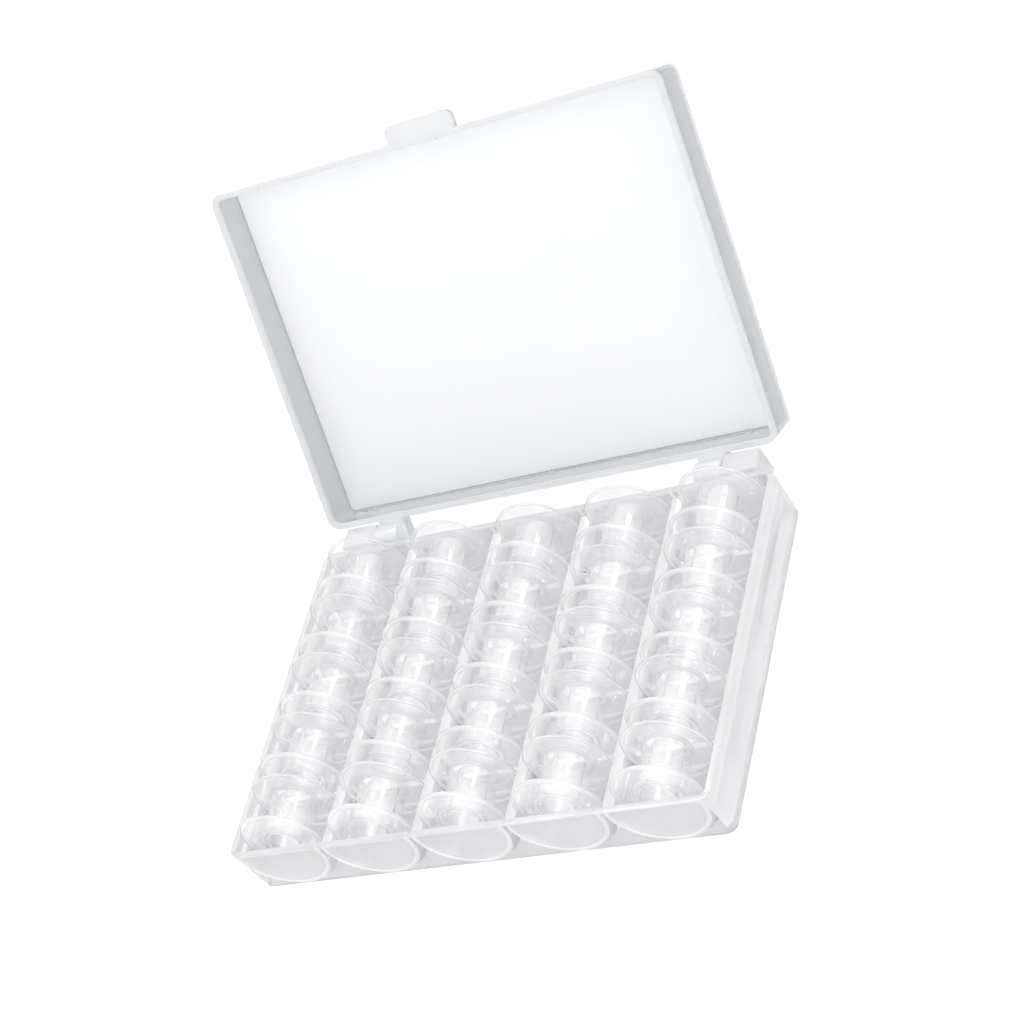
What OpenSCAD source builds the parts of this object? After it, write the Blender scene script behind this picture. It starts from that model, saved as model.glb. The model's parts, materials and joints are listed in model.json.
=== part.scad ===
// Flat hinged box that stores sewing-machine bobbins, five rows of five, each standing on its rim.
// Millimetres. +Z up, the front (thumb tab side) faces -Y, the hinge is at +Y.
// The origin is the middle of the tray's footprint, at its underside. Drawn with the lid open.

/* [Box] */
// Outside width of the box
box_w = 122; // [121.6:0.2:126]
// Outside depth of the tray
box_d = 85.4; // [85.2:0.2:92]
// Height of the tray's walls
tray_h = 13.4; // [12.8:0.2:15.4]
// Height of the lid's walls
lid_h = 10.2; // [10:0.1:12]
// Thickness of the outer walls at the rims
wall = 1.4; // [1.3:0.05:1.6]
// How far the outer walls lean in from the rim to the tray's underside, and to the lid's plate
draft = 0.6; // [0:0.1:0.7]
// Radius of the box's upright corners
corner_r = 3; // [2:0.25:5]

/* [Troughs] */
// Spacing of the columns
pitch_x = 23.9; // [23.6:0.05:23.9]
// Spacing of the rows
pitch_y = 16.6; // [16.2:0.1:16.6]
// Radius of a trough
trough_r = 10.6; // [10.5:0.05:10.8]
// Skin under the lowest line of a trough
skin = 1.2; // [1:0.1:1.4]
// How far the ridges between the troughs stop below the rim
ridge_drop = 2; // [1:0.25:2.2]
// Height of the cross walls between the rows
cross_h = 8; // [5:0.5:11]
// Thickness of the cross walls
cross_t = 1.2; // [0.8:0.1:1.6]

/* [Bobbins] */
// Diameter of a bobbin's flanges
bobbin_d = 20.3; // [19:0.1:20.5]
// Length of a bobbin over its flanges
bobbin_w = 11.7; // [10.5:0.1:12.5]
// Diameter of a bobbin's hub
hub_d = 8.8; // [8:0.1:12]
// Diameter of a bobbin's bore
bore_d = 6.1; // [5.8:0.1:6.4]
// Thickness of a flange
flange_t = 0.9; // [0.7:0.05:1.2]
// Diameter of the thread holes in a flange
thread_hole_d = 1.6; // [1:0.1:2]

/* [Lid] */
// Opening angle of the lid on its stop
lid_open = 121; // [110:1:121]
// Thickness of the lid's plate
plate_t = 1.2; // [1:0.1:1.3]
// Thickness of the card
card_t = 0.35; // [0.2:0.05:0.4]
// Width of the thumb tab
tab_w = 18; // [12:0.5:24]
// How far the thumb tab stands out
tab_out = 4.2; // [3:0.1:6]

/* [Hinge] */
// Distance of the hinge axis behind the tray
axis_out = 3.4; // [3.2:0.1:3.8]
// Depth of the hinge axis below the rim
axis_drop = 1.5; // [1.3:0.1:1.7]
// Radius of the knuckles
knuckle_r = 2.7; // [2.4:0.05:2.8]
// Radius of the pin stubs
pin_r = 1.2; // [1:0.05:1.3]

/* [Hidden] */
$fn = 64;
rows = 5;
cols = 5;
gap = 0.3;                                  // clearance between pieces that only rest together
fit = 0.05;                                 // radial clearance of the pin stubs in the knuckles
eps = 0.02;
axis_y = box_d / 2 + axis_out;
axis_z = tray_h - axis_drop;
trough_z = skin + trough_r;
bobbin_z = skin + gap + bobbin_d / 2;
ridge_z = tray_h - ridge_drop;
inner_w = box_w - 2 * wall;
inner_d = box_d - 2 * wall;
lid_z = tray_h + gap;
lid_top = lid_z + lid_h;
hollow_r = 13.8;                            // underside hollows leave this radius round each trough
hollow_z = hollow_r - 0.25;                 // and a flat strip under it that the tray stands on
post_x0 = box_w / 2 - 13.6;                 // inner face of a hinge post, from the middle of the box
post_w = 8.6;
post_back = 2.95;
post_up = 1.9;
post_down = 5.6;
arm_h = 3.6;
knuckle_x0 = box_w / 2 - 20.6;
knuckle_w = post_x0 - gap - knuckle_x0;
stub_l = 3;
tab_t = 1.4;
card_gap = 0.1;
card_margin = 0.25;
pip_r = 0.9;
pip_x = [-52, -1, 51];
hole_ring = 7.1;
clear = [0.88, 0.92, 0.95, 0.35];
white = [0.96, 0.97, 0.99];

function col_x(c) = (c - 3) * pitch_x;
function row_y(r) = (r - 3) * pitch_y;
function turn(r, c) = ((r * 5 + c) * 37) % 60 - 30;   // each bobbin lies as it fell

// ---- shared shapes ----

module block(w, d, h, r) {
  linear_extrude(h) rounded(w, d, r);
}

module rounded(w, d, r) {
  union() {
    square([w - 2 * r, d], center = true);
    square([w, d - 2 * r], center = true);
    for (x = [-1, 1]) for (y = [-1, 1])
      translate([x * (w / 2 - r), y * (d / 2 - r)]) circle(r);
  }
}

// The outside of the tray or of the lid from its rim, at z = 0, to where it is drafted in, at z = h
module drafted(h) {
  union() {
    rotate([90, 0, 90]) wedge(box_d, h, box_w - 2 * corner_r);
    rotate([90, 0, 0]) wedge(box_w, h, box_d - 2 * corner_r);
    for (x = [-1, 1]) for (y = [-1, 1])
      translate([x * (box_w / 2 - corner_r), y * (box_d / 2 - corner_r), 0])
        cylinder(r1 = corner_r, r2 = corner_r - draft, h = h);
  }
}

// A bar of length l whose section narrows from w at the bottom by the draft on both sides
module wedge(w, h, l) {
  linear_extrude(l, center = true)
    polygon([[-w / 2, 0], [w / 2, 0], [w / 2 - draft, h], [draft - w / 2, h]]);
}

module along_y(r, l) {
  rotate([90, 0, 0]) cylinder(r = r, h = l, center = true);
}

module along_x(r, x0, x1) {
  translate([x0, 0, 0]) rotate([0, 90, 0]) cylinder(r = r, h = x1 - x0);
}

module both_sides() {
  for (side = [0, 1]) mirror([side, 0, 0]) children();
}

// ---- tray ----

// One trough with straight sides above its axis, full depth of the inside
module trough() {
  translate([0, 0, trough_z]) along_y(trough_r, inner_d);
  translate([-trough_r, -inner_d / 2, trough_z])
    cube([2 * trough_r, inner_d, tray_h]);
}

// Hollows under the ridges and beside the outer troughs, open below
module under_hollows() {
  difference() {
    translate([0, 0, -1])
      block(inner_w - 2 * draft, inner_d - 2 * draft, ridge_z - 1, corner_r - wall);
    for (c = [1:cols]) translate([col_x(c), 0, hollow_z]) along_y(hollow_r, box_d);
  }
}

module cross_walls() {
  for (r = [1:rows - 1])
    translate([-inner_w / 2 - eps, row_y(r) + pitch_y / 2 - cross_t / 2, skin + 1])
      cube([inner_w + 2 * eps, cross_t, cross_h - skin - 1]);
}

// A hinge post behind the back wall, with the stub that enters the knuckle. Its upper back corner
// is what the open lid's hinge wall comes to rest against.
module hinge_post() {
  translate([0, axis_y, axis_z]) {
    along_x(pin_r, post_x0 - gap - stub_l, post_x0 + 1);
    translate([post_x0, -axis_out - wall / 2, -post_down])
      cube([post_w, axis_out + wall / 2 + post_back, post_down]);
    translate([post_x0, -knuckle_r, -1]) cube([post_w, knuckle_r + post_back, 1 + post_up]);
  }
}

module tray() {
  color(clear) {
    difference() {
      translate([0, 0, tray_h]) mirror([0, 0, 1]) drafted(tray_h);
      translate([0, 0, ridge_z]) block(inner_w, inner_d, tray_h, corner_r - wall);
      intersection() {
        for (c = [1:cols]) translate([col_x(c), 0, 0]) trough();
        block(inner_w, inner_d, tray_h + 1, corner_r - wall);
      }
      under_hollows();
    }
    cross_walls();
    both_sides() hinge_post();
  }
}

// ---- lid ----

// The lid as it lies on the tray when shut
module lid_shut() {
  difference() {
    translate([0, 0, lid_z]) drafted(lid_h);
    translate([0, 0, lid_z - 1])
      block(inner_w, inner_d, lid_h + 1 - plate_t, corner_r - wall);
  }
  // thumb tab
  translate([0, -box_d / 2 - tab_out + 2, lid_z]) {
    block(tab_w, 4, tab_t, 1.9);
    translate([-tab_w / 2, 0, 0]) cube([tab_w, tab_out - 2 + wall / 2, tab_t]);
  }
  // pips that hold the card, on the inside of the hinge wall and of the front wall
  for (x = pip_x) for (y = [-1, 1])
    translate([x, y * inner_d / 2, lid_top - plate_t - card_gap - card_t - 0.25 - pip_r])
      sphere(r = pip_r, $fn = 24);
  both_sides() knuckle();
}

module knuckle() {
  difference() {
    union() {
      translate([0, axis_y, axis_z]) along_x(knuckle_r, knuckle_x0, knuckle_x0 + knuckle_w);
      translate([knuckle_x0, box_d / 2 - wall / 2, lid_z])
        cube([knuckle_w, axis_out + wall / 2 + knuckle_r, arm_h]);
    }
    translate([0, axis_y, axis_z])
      along_x(pin_r + fit, post_x0 - gap - stub_l - 0.3, post_x0 + 1);
  }
}

module opened() {
  translate([0, axis_y, axis_z]) rotate([-lid_open, 0, 0]) translate([0, -axis_y, -axis_z])
    children();
}

module lid() {
  color(clear) opened() lid_shut();
}

module card() {
  color(white) opened()
    translate([0, 0, lid_top - plate_t - card_gap - card_t])
      block(inner_w - 2 * card_margin, inner_d - 2 * card_margin, card_t,
            corner_r - wall - card_margin);
}

// ---- bobbins ----

module bobbin(r, c) {
  color(clear)
  translate([col_x(c), row_y(r), bobbin_z]) rotate([0, turn(r, c), 0])
  difference() {
    union() {
      along_y(hub_d / 2, bobbin_w);
      for (y = [-1, 1]) translate([0, y * (bobbin_w - flange_t) / 2, 0])
        along_y(bobbin_d / 2, flange_t);
    }
    along_y(bore_d / 2, bobbin_w + 1);
    for (x = [-1, 1]) translate([x * hole_ring, 0, 0]) along_y(thread_hole_d / 2, bobbin_w + 1);
  }
}

tray();
lid();
card();
for (r = [1:rows]) for (c = [1:cols])
  bobbin(r, c);
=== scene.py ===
import bpy, bmesh, json, math
from mathutils import Matrix, Vector

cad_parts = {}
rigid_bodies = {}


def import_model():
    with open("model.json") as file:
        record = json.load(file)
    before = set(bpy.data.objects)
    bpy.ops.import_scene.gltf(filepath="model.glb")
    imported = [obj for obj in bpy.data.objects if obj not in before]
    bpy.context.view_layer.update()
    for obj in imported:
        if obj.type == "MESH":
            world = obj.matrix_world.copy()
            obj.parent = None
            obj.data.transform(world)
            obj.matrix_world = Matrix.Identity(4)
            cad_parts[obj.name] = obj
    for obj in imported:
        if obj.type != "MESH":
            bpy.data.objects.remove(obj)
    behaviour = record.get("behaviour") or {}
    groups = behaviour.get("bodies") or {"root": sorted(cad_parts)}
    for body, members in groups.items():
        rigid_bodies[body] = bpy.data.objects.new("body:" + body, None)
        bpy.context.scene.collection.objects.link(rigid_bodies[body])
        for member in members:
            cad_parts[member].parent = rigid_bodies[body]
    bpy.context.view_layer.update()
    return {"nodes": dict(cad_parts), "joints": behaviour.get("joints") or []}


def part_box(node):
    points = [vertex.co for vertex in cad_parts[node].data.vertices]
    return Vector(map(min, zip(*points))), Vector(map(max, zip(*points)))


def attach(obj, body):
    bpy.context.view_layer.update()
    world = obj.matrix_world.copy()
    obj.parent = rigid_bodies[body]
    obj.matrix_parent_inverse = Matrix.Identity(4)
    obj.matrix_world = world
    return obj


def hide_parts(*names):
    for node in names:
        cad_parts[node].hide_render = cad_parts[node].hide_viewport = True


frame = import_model()
scene = bpy.context.scene
nodes = frame["nodes"]
MM = 0.001

# A bobbin's sizes, in millimetres: a class 15 bobbin as the CAD part holds it, and how far its
# flanges' faces lie below their rims and boss rings
BORE_R = 3.05
HUB_R = 4.4
FLANGE_T = 0.9
HOLE_RING = 7.1
HOLE_R = 0.8
RECESS = 0.1

# The tray's sizes, in millimetres: the spacing of columns and rows, the heights of the rim and of the
# troughs' axes, where the end walls' inner faces are, and from where on out a side wall is milky
PITCH_X = 23.9
PITCH_Y = 16.6
RIM_Z = 13.4
TROUGH_Z = 11.8
END_Y = 41.3
SIDE_X = 59

# The lid stands open by this angle, and its rim faces this way, this far along it from the origin
LID_OPEN = math.radians(121)
HINGE = Vector(next(j for j in frame["joints"] if j["name"] == "lid_hinge")["pos_m"])
RIM_WAY = Vector((0, -math.sin(LID_OPEN), -math.cos(LID_OPEN)))
RIM_AT = RIM_WAY.dot(HINGE) - 1.8 * MM


# ---- camera: the photograph's viewing angle, rolled as it is there ----

def look(azimuth, elevation, roll, distance, target, lens):
    a, e, r = (math.radians(v) for v in (azimuth, elevation, roll))
    back = Vector((math.sin(a) * math.cos(e), -math.cos(a) * math.cos(e), math.sin(e)))
    right = (-back).cross(Vector((0, 0, 1))).normalized()
    up = right.cross(-back)
    x = math.cos(r) * right + math.sin(r) * up
    y = -math.sin(r) * right + math.cos(r) * up
    cam = bpy.data.objects.new("camera", bpy.data.cameras.new("camera"))
    scene.collection.objects.link(cam)
    turn = Matrix((x, y, back)).transposed().to_4x4()
    cam.matrix_world = Matrix.Translation(target + back * distance) @ turn
    cam.data.lens, cam.data.sensor_width = lens, 36
    cam.data.clip_start, cam.data.clip_end = 0.01, 20
    scene.camera = cam


look(41.76, 38.10, -40.02, 0.63821, Vector((-0.01999, 0.05812, 0)), 94.19)


# ---- materials ----

def material(name):
    m = bpy.data.materials.new(name)
    m.use_nodes = True
    nt = m.node_tree
    return m, nt, nt.nodes["Principled BSDF"]


def noise(nt, scale, detail=3, rough=0.5, stretch=(1, 1, 1)):
    """Noise in the object's own space; scale is in features per metre, stretch thins it along an axis."""
    co = nt.nodes.new("ShaderNodeTexCoord")
    mp = nt.nodes.new("ShaderNodeMapping")
    mp.inputs["Scale"].default_value = stretch
    n = nt.nodes.new("ShaderNodeTexNoise")
    n.inputs["Scale"].default_value = scale
    n.inputs["Detail"].default_value = detail
    n.inputs["Roughness"].default_value = rough
    nt.links.new(co.outputs["Object"], mp.inputs["Vector"])
    nt.links.new(mp.outputs["Vector"], n.inputs["Vector"])
    return n.outputs["Fac"]


def ramp(nt, fac, lo, hi, a=0.3, b=0.7):
    r = nt.nodes.new("ShaderNodeMapRange")
    for k, v in zip(("From Min", "From Max", "To Min", "To Max"), (a, b, lo, hi)):
        r.inputs[k].default_value = v
    nt.links.new(fac, r.inputs["Value"])
    return r.outputs["Result"]


def tint(nt, fac, c0, c1):
    r = nt.nodes.new("ShaderNodeValToRGB")
    for element, colour, at in zip(r.color_ramp.elements, (c0, c1), (0.35, 0.65)):
        element.color, element.position = (*colour, 1), at
    nt.links.new(fac, r.inputs["Fac"])
    return r.outputs["Color"]


def bump(nt, bsdf, height, distance, strength):
    b = nt.nodes.new("ShaderNodeBump")
    b.inputs["Distance"].default_value = distance
    b.inputs["Strength"].default_value = strength
    nt.links.new(height, b.inputs["Height"])
    nt.links.new(b.outputs["Normal"], bsdf.inputs["Normal"])


def place(nt):
    """X, Y and Z in the object's own space."""
    co = nt.nodes.new("ShaderNodeTexCoord")
    split = nt.nodes.new("ShaderNodeSeparateXYZ")
    nt.links.new(co.outputs["Object"], split.inputs["Vector"])
    return split.outputs["X"], split.outputs["Y"], split.outputs["Z"]


def calc(nt, operation, *values):
    """A math node on sockets or numbers."""
    n = nt.nodes.new("ShaderNodeMath")
    n.operation = operation
    for socket, v in zip(n.inputs, values):
        if isinstance(v, bpy.types.NodeSocket):
            nt.links.new(v, socket)
        else:
            socket.default_value = v
    return n.outputs["Value"]


def radius(nt, u, v):
    return calc(nt, "SQRT", calc(nt, "ADD", calc(nt, "POWER", u, 2), calc(nt, "POWER", v, 2)))


def moulded(name, clear_tint_and_shade, thick, milk, rough, ior, gloss, ripple, heavy):
    """Moulded clear plastic under a glossy skin. clear_tint_and_shade is its colour where the section is
    slight, and on the tray and lid that grey is painted shade; thick is its colour where the section is
    thick, and milk the share of light that it scatters at each; heavy(nt) gives 0 to 1 between them.
    rough is the range of the skin's roughness, gloss its strength and ripple the depth of the waves
    that cooling leaves in it."""
    m, nt, b = material(name)
    b.inputs["IOR"].default_value = ior
    cloud = noise(nt, 55, 3, 0.5, (1, 1, 0.5))
    share = heavy(nt)
    mix = nt.nodes.new("ShaderNodeMix")
    mix.data_type = "RGBA"
    nt.links.new(share, mix.inputs["Factor"])
    nt.links.new(tint(nt, cloud, [c * 0.98 for c in clear_tint_and_shade], clear_tint_and_shade), mix.inputs["A"])
    nt.links.new(tint(nt, cloud, [c * 0.985 for c in thick], thick), mix.inputs["B"])
    nt.links.new(mix.outputs["Result"], b.inputs["Base Color"])
    nt.links.new(ramp(nt, share, 1 - milk[0], 1 - milk[1], 0, 1), b.inputs["Transmission Weight"])
    nt.links.new(ramp(nt, noise(nt, 420, 4, 0.6), *rough), b.inputs["Roughness"])
    b.inputs["Coat Roughness"].default_value = rough[0]
    b.inputs["Coat Weight"].default_value = gloss
    b.inputs["Coat IOR"].default_value = 1.45
    bump(nt, b, noise(nt, 170, 3), ripple, 0.6)
    return m


def tray_heavy(nt):
    """The ridges, the cross walls, the rim's edge, the side walls, and on the end walls the troughs'
    outlines and, less so, what lies inside them."""
    x, y, z = place(nt)
    out_x, out_y = (calc(nt, "ABSOLUTE", v) for v in (x, y))
    end = ramp(nt, out_y, 0, 1, (END_Y - 0.5) * MM, (END_Y - 0.2) * MM)
    ridge = calc(nt, "MULTIPLY", ramp(nt, z, 0, 1, 8.2 * MM, 10.6 * MM), calc(nt, "SUBTRACT", 1, end))
    edge = ramp(nt, z, 0.3, 0.8, (RIM_Z - 1.1) * MM, (RIM_Z - 0.3) * MM)
    edge = calc(nt, "MULTIPLY", edge, calc(nt, "GREATER_THAN", z, (RIM_Z - 1.8) * MM))
    side = calc(nt, "MULTIPLY", ramp(nt, out_x, 0, 0.8, SIDE_X * MM, (SIDE_X + 0.3) * MM),
                ramp(nt, z, 0, 1, 1.5 * MM, 2.5 * MM))
    aside = calc(nt, "PINGPONG", x, PITCH_X / 2 * MM)
    r = radius(nt, aside, calc(nt, "SUBTRACT", z, TROUGH_Z * MM))
    # On the end walls, the troughs' outlines and their insides are milkier and lighter. The voids between
    # and below them keep the grey clear tint, which is painted shade of the hollow underside.
    ring = ramp(nt, calc(nt, "ABSOLUTE", calc(nt, "SUBTRACT", r, 11 * MM)), 0.85, 0, 0.4 * MM, 0.9 * MM)
    ring = calc(nt, "MAXIMUM", ring, ramp(nt, r, 0.55, 0, 10.9 * MM, 11 * MM))
    cross = ramp(nt, calc(nt, "PINGPONG", y, PITCH_Y / 2 * MM), 0, 1,
                 (PITCH_Y / 2 - 0.9) * MM, (PITCH_Y / 2 - 0.65) * MM)
    cross = calc(nt, "MULTIPLY", cross, calc(nt, "LESS_THAN", out_y, 2 * PITCH_Y * MM))
    cross = calc(nt, "MULTIPLY", cross, calc(nt, "LESS_THAN", out_x, SIDE_X * MM))
    shares = calc(nt, "MAXIMUM", calc(nt, "MULTIPLY", ring, end), calc(nt, "MAXIMUM", ridge, cross))
    return calc(nt, "MAXIMUM", calc(nt, "MAXIMUM", edge, side), shares)


def lid_heavy(nt):
    """The last stretch of the walls up to the rim, and the plate."""
    co = nt.nodes.new("ShaderNodeTexCoord")
    dot = nt.nodes.new("ShaderNodeVectorMath")
    dot.operation = "DOT_PRODUCT"
    dot.inputs[1].default_value = RIM_WAY
    nt.links.new(co.outputs["Object"], dot.inputs[0])
    rim = ramp(nt, dot.outputs["Value"], 0, 1, RIM_AT - 1.5 * MM, RIM_AT - 0.3 * MM)
    plate = ramp(nt, dot.outputs["Value"], 0.9, 0, RIM_AT - 9.4 * MM, RIM_AT - 9.1 * MM)
    return calc(nt, "MAXIMUM", rim, plate)


def bobbin_heavy(nt):
    """The raised rims and boss rings of the flanges."""
    x, y, z = place(nt)
    r = radius(nt, x, z)
    rim = ramp(nt, r, 0, 1, 9 * MM, 9.6 * MM)
    off_ring = calc(nt, "ABSOLUTE", calc(nt, "SUBTRACT", r, (HUB_R + 0.5) * MM))
    boss = calc(nt, "SUBTRACT", 1, ramp(nt, off_ring, 0, 1, 0.3 * MM, 0.8 * MM))
    outer = ramp(nt, calc(nt, "ABSOLUTE", y), 0, 1, 5.3 * MM, 5.6 * MM)
    return calc(nt, "MAXIMUM", rim, calc(nt, "MULTIPLY", boss, outer))


def card_stock(name, light, dark):
    m, nt, b = material(name)
    b.inputs["Specular IOR Level"].default_value = 0.3
    fibre = noise(nt, 900, 6, 0.7, (1, 0.35, 0.35))
    nt.links.new(tint(nt, fibre, dark, light), b.inputs["Base Color"])
    nt.links.new(ramp(nt, noise(nt, 1500, 4), 0.6, 0.8), b.inputs["Roughness"])
    bump(nt, b, noise(nt, 2600, 5, 0.7), 0.02 * MM, 0.4)
    return m


# The tray's clear tint is a mid grey. It is painted shade for the shadow the tray would leave on the floor
# beneath it, which the shadowless lamps light.
TRAY = moulded("clear_tray", (0.65, 0.655, 0.667), (0.85, 0.85, 0.86), (0.14, 0.66), (0.1, 0.2),
               1.15, 0.8, 0.02 * MM, tray_heavy)
# The lid's clear tint is a darker grey. It is painted shade for the shade behind and below its walls, as
# seen through them.
LID = moulded("clear_lid", (0.6, 0.615, 0.635), (0.83, 0.84, 0.85), (0.35, 0.6), (0.08, 0.18),
              1.2, 1, 0.02 * MM, lid_heavy)
BOBBIN = moulded("clear_bobbin", (0.97, 0.97, 0.975), (0.91, 0.91, 0.915), (0.23, 0.42), (0.05, 0.1),
                 1.08, 0.6, 0.008 * MM, bobbin_heavy)
CARD = card_stock("white_card", (0.825, 0.83, 0.845), (0.82, 0.825, 0.84))
# The card's edges and bevels are dark grey. This is painted shade for the shadow line in the gap between
# the card and the lid's walls.
CARD_EDGE_SHADE = card_stock("white_card_edge_painted_shade", (0.3, 0.32, 0.35), (0.24, 0.26, 0.29))


# ---- shapes ----

def add(name, mesh, body, slot, *replaced):
    o = bpy.data.objects.new(name, mesh)
    scene.collection.objects.link(o)
    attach(o, body)
    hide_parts(*replaced)
    return o


def modified(mesh, change):
    """The mesh after the modifiers that change() gives a stand-in object, its slivers welded."""
    o = bpy.data.objects.new("work", mesh)
    scene.collection.objects.link(o)
    change(o)
    bpy.context.view_layer.update()
    new = bpy.data.meshes.new_from_object(o.evaluated_get(bpy.context.evaluated_depsgraph_get()))
    bpy.data.objects.remove(o)
    bm = bmesh.new()
    bm.from_mesh(new)
    bmesh.ops.remove_doubles(bm, verts=bm.verts, dist=0.0005 * MM)
    bm.to_mesh(new)
    bm.free()
    return new


def smooth(mesh, degrees, *materials):
    mesh.materials.clear()
    for m in materials:
        mesh.materials.append(m)
    mesh.shade_smooth()
    mesh.set_sharp_from_angle(angle=math.radians(degrees))
    return mesh


def softened(node, width):
    """A CAD node's mesh with its flat faces whole and its sharp edges rounded, as a mould leaves them."""
    bm = bmesh.new()
    bm.from_mesh(nodes[node].data)
    bmesh.ops.remove_doubles(bm, verts=bm.verts, dist=0.002 * MM)
    bmesh.ops.dissolve_limit(bm, angle_limit=math.radians(1.5), verts=bm.verts, edges=bm.edges)
    mesh = bpy.data.meshes.new(node + "_soft")
    bm.to_mesh(mesh)
    bm.free()

    def bevel(o):
        b = o.modifiers.new("edges", "BEVEL")
        b.width, b.segments = width, 3
        b.limit_method, b.angle_limit = "ANGLE", math.radians(30)
        b.use_clamp_overlap = True
    return modified(mesh, bevel)


def filleted(corners, steps=4):
    """A closed outline from its corners (x, y, radius), each rounded by an arc."""
    out = []
    for i, (x, y, radius) in enumerate(corners):
        p = Vector((x, y))
        to_last, to_next = (Vector(corners[j][:2]) - p for j in (i - 1, (i + 1) % len(corners)))
        half = to_last.angle(to_next) / 2
        to_last.normalize()
        to_next.normalize()
        centre = p + (to_last + to_next).normalized() * radius / math.sin(half)
        start = p + to_last * radius / math.tan(half) - centre
        sweep = math.copysign(math.pi - 2 * half, start.cross(to_next))
        for k in range(steps + 1):
            out.append(centre + Matrix.Rotation(sweep * k / steps, 2) @ start)
    return out


def lathe(name, outline, steps):
    """A closed outline of (radius, y) points turned round the Y axis."""
    bm = bmesh.new()
    angles = [2 * math.pi * k / steps for k in range(steps)]
    rings = [[bm.verts.new((r * math.cos(a), y, r * math.sin(a))) for r, y in outline] for a in angles]
    for k, ring in enumerate(rings):
        after = rings[(k + 1) % steps]
        for i in range(len(outline)):
            j = (i + 1) % len(outline)
            bm.faces.new((ring[i], ring[j], after[j], after[i]))
    bmesh.ops.recalc_face_normals(bm, faces=bm.faces)
    mesh = bpy.data.meshes.new(name)
    bm.to_mesh(mesh)
    bm.free()
    return mesh


# ---- bobbins: a hub between two flanges with raised rims and boss rings, and two thread holes ----

def bobbin_mesh(flange_r, half):
    seat, rim = HUB_R + 0.9, flange_r - 0.9
    side = [(BORE_R, half, 0.3), (seat, half, 0.07), (seat + 0.15, half - RECESS, 0.06),
            (rim - 0.15, half - RECESS, 0.06), (rim, half, 0.07), (flange_r, half, 0.32),
            (flange_r, half - FLANGE_T, 0.32), (HUB_R, half - FLANGE_T, 0.5)]
    other = [(r, -y, f) for r, y, f in reversed(side)]
    outline = [p * MM for p in filleted(side + other)]
    body = lathe("bobbin_turned", outline, 96)
    bm = bmesh.new()
    bmesh.ops.create_cone(bm, cap_ends=True, segments=24, radius1=HOLE_R * MM, radius2=HOLE_R * MM,
                          depth=(2 * half + 2) * MM, matrix=Matrix.Rotation(math.pi / 2, 4, "X"))
    drill = bpy.data.meshes.new("drill")
    bm.to_mesh(drill)
    bm.free()

    def drilled(o):
        for side in (-1, 1):
            tool = bpy.data.objects.new("drill", drill)
            tool.location.x = side * HOLE_RING * MM
            tool.rotation_euler.y = math.pi / 24        # so that no edge of it lies on one of the bobbin's
            scene.collection.objects.link(tool)
            cut = o.modifiers.new("hole", "BOOLEAN")
            cut.operation, cut.solver, cut.object = "DIFFERENCE", "EXACT", tool
    mesh = modified(body, drilled)
    for tool in [o for o in scene.objects if o.data == drill]:
        bpy.data.objects.remove(tool)
    return smooth(mesh, 35, BOBBIN)


low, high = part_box("bobbin_r1c1")
BOBBIN_MESH = bobbin_mesh((high[2] - low[2]) / 2 / MM, (high[1] - low[1]) / 2 / MM)
for row in range(1, 6):
    for col in range(1, 6):
        node = f"bobbin_r{row}c{col}"
        low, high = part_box(node)
        turn = math.radians((row * 5 + col) * 37 % 60 - 30)      # as part.scad turns it
        mesh = BOBBIN_MESH.copy()
        mesh.transform(Matrix.Rotation(turn, 4, "Y"))
        o = add(f"turned_{node}", mesh, node, "clear_bobbin", node)
        o.matrix_world = Matrix.Translation((Vector(low) + Vector(high)) / 2)

# ---- tray, lid and card ----

add("moulded_tray", smooth(softened("tray", 0.22 * MM), 40, TRAY), "tray", "clear_tray", "tray")
add("moulded_lid", smooth(softened("lid", 0.2 * MM), 40, LID), "lid", "clear_lid", "lid")

card = softened("card", 0.15 * MM)
smooth(card, 40, CARD, CARD_EDGE_SHADE)
broad = max(card.polygons, key=lambda p: p.area).normal.copy()
# The faces that are off the card's broad sides take the dark painted edge shade.
for p in card.polygons:
    p.material_index = 0 if abs(p.normal.dot(broad)) > 0.98 else 1
add("cut_card", card, "lid", "white_card", "card")

# ---- floor and light ----

floor = bpy.data.objects.new("floor", bpy.data.meshes.new("floor"))
bm = bmesh.new()
bmesh.ops.create_grid(bm, x_segments=1, y_segments=1, size=3)
bm.to_mesh(floor.data)
bm.free()
floor.location.z = -0.0002
scene.collection.objects.link(floor)
m, nt, b = material("floor")
b.inputs["Base Color"].default_value = (0.97, 0.97, 0.97, 1)
b.inputs["Roughness"].default_value = 0.9
b.inputs["Specular IOR Level"].default_value = 0.1
floor.data.materials.append(m)

scene.world = bpy.data.worlds.new("world")
scene.world.use_nodes = True
bg = scene.world.node_tree.nodes["Background"]
bg.inputs["Color"].default_value = (0.99, 0.992, 1, 1)
bg.inputs["Strength"].default_value = 0.83


def softbox(name, where, size, power, diffuse):
    """A round lamp that casts no shadow, pointed at the box. Without diffuse it lights no matt surface."""
    l = bpy.data.lights.new(name, "AREA")
    l.shape, l.size, l.energy, l.use_shadow = "DISK", size, power, False
    o = bpy.data.objects.new(name, l)
    o.location, o.visible_diffuse = where, diffuse
    o.rotation_euler = (Vector((0, 0.02, 0.02)) - Vector(where)).to_track_quat("-Z", "Y").to_euler()
    scene.collection.objects.link(o)


softbox("streaks", (0.65, 0.68, 0.73), 0.45, 6, False)
softbox("key", (-0.6, 0.3, 1.6), 0.8, 9, True)
softbox("fill", (1.1, -2.1, 1.3), 1.6, 20, True)

scene.view_settings.view_transform = "Standard"
scene.cycles.max_bounces = 32
scene.cycles.transmission_bounces = 28
scene.cycles.transparent_max_bounces = 16
scene.cycles.glossy_bounces = 6
scene.cycles.diffuse_bounces = 4
